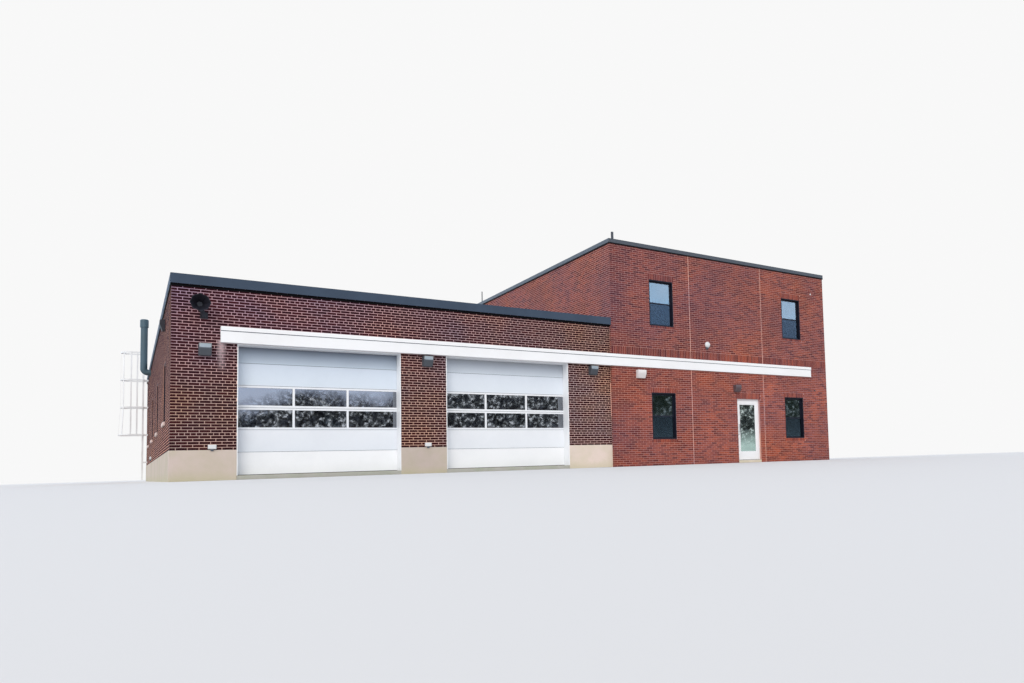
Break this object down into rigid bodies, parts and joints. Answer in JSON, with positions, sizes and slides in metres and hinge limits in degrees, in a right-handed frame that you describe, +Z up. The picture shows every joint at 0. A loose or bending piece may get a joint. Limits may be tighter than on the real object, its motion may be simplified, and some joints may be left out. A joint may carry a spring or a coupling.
{
  "type": "fire station building",
  "caption": "Flat-roofed brick fire station: an engine bay with glazed overhead doors beside a taller crew block with sash windows, a white band and a hinged entry door.",
  "frame": {"origin": "centre of the building's own box, at its foot", "axes": "+X along the front to the right as seen from the front, +Y into the building, +Z up"},
  "size_m": [22.162, 22.78, 7.745],
  "materials": {
    "bay_brick": "rough fired clay, pale mortar",
    "block_brick": "fired clay",
    "concrete": "cast, weathered",
    "roof_edge_metal": "satin",
    "coping_metal": "satin",
    "roof_membrane": "matt",
    "white_metal": "satin",
    "white_board": "satin",
    "window_metal": "satin bronze",
    "glass": "clear",
    "stone_sill": "smooth",
    "rubber": "matt",
    "galvanised": "dull",
    "steel": "brushed",
    "lamp_metal": "satin",
    "horn_black": "matt",
    "white_plastic": "matt",
    "stack_metal": "weathered",
    "ladder_white": "satin",
    "mast_metal": "satin"
  },
  "bodies": {
    "building": {"bay_back_wall": "bay_brick", "bay_bases": "concrete", "bay_fascia": "roof_edge_metal", "bay_header_wall": "bay_brick", "bay_piers": "bay_brick", "bay_roof": "roof_membrane", "bay_side_wall": "bay_brick", "block_back_wall": "block_brick", "block_coping": "coping_metal", "block_roof": "roof_membrane", "block_side_wall": "block_brick", "door_seals": "rubber", "door_tracks": "galvanised", "doorway_linings": "white_metal", "entry_frame": "white_metal", "entry_frame_hinges": "steel", "entry_step": "concrete", "entry_threshold": "galvanised", "exhaust_stack": "stack_metal", "front_band": "white_board", "front_wall_left": "block_brick", "front_wall_over_door": "block_brick", "front_wall_right": "block_brick", "ground_floors": "concrete", "ladder_cage": "ladder_white", "left_overhead_door": "white_metal", "overhead_door_glass": "glass", "party_wall": "block_brick", "right_overhead_door": "white_metal", "roof_ladder": "ladder_white", "roof_masts": "mast_metal", "siren_horn": "horn_black", "upper_floor": "concrete", "wall_boxes": "white_plastic", "wall_lamps": "lamp_metal", "window_frames": "window_metal", "window_glass": "glass", "window_sashes": "window_metal", "window_sills": "stone_sill"},
    "entry_door": {"entry_door_leaf": "white_metal", "entry_door_glass": "glass", "entry_door_hinges": "steel", "entry_door_pull": "steel"}
  },
  "joints": [
    {"name": "entry_door_hinge", "type": "hinge", "parent": "building", "child": "entry_door", "pos_m": [7.4755, -11.039, 0.109], "axis": [0, 0, 1], "range_deg": [0, 105]}
  ]
}
